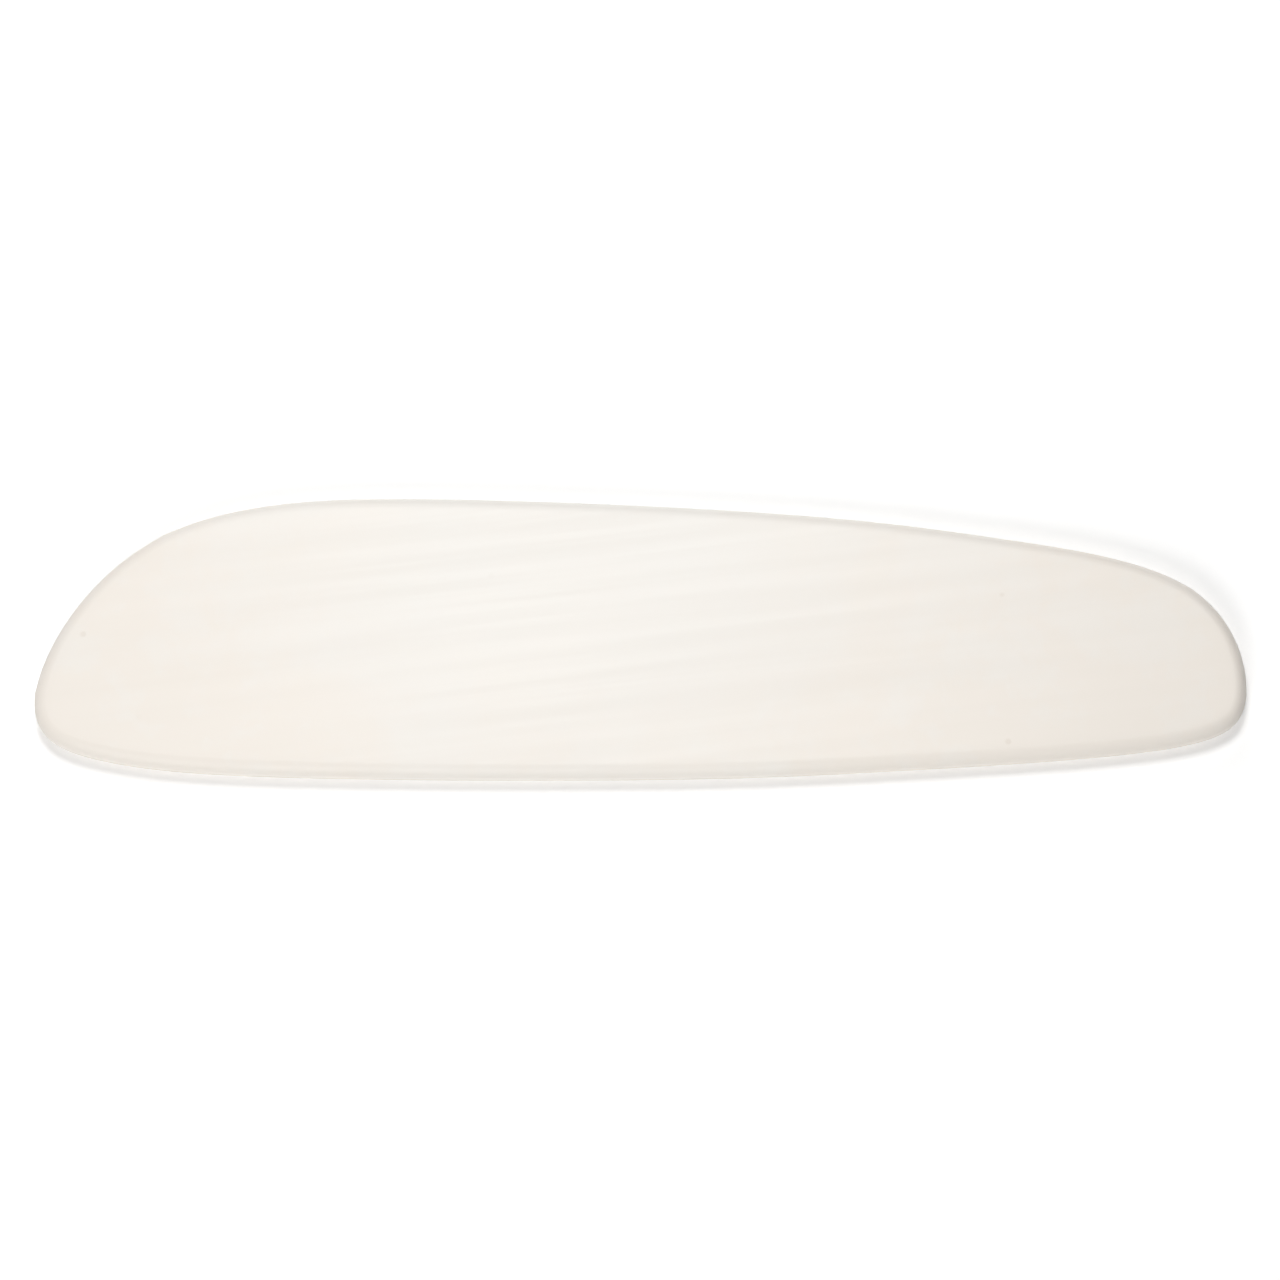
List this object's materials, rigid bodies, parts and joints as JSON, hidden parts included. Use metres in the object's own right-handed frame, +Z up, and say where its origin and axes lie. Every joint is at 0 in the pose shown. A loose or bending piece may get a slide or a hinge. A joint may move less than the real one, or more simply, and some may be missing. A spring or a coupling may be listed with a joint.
{
  "type": "transfer board",
  "caption": "Smooth free-form slide board with a wide and a narrow end, fully rounded rim, screwed twin shells over a plywood panel, and ribbed grip pads under both ends.",
  "frame": {"origin": "centre of the board's outline box in plan, at the level of the floor under the grip pads", "axes": "+X along the board from the wide end to the narrow end, +Y across it towards the edge that slopes in at the narrow end, +Z up out of the slide face"},
  "size_m": [0.8597, 0.2069, 0.0235],
  "materials": {
    "shell": "satin cream moulded skin with faint mottling",
    "plywood": "sanded birch plywood, bare",
    "seal_rubber": "matt soft cord",
    "grip_rubber": "matt dark grey, ribbed",
    "screw_steel": "plain zinc plated",
    "insert_brass": "turned",
    "plug_rubber": "matt, close to the skin's colour"
  },
  "bodies": {
    "root": {"deck_shell": "shell", "base_shell": "shell", "core_panel": "plywood", "seam_seal": "seal_rubber", "grip_pad_wide": "grip_rubber", "grip_pad_narrow": "grip_rubber", "cover_screws": "screw_steel", "threaded_inserts": "insert_brass", "screw_plugs": "plug_rubber"}
  },
  "joints": []
}
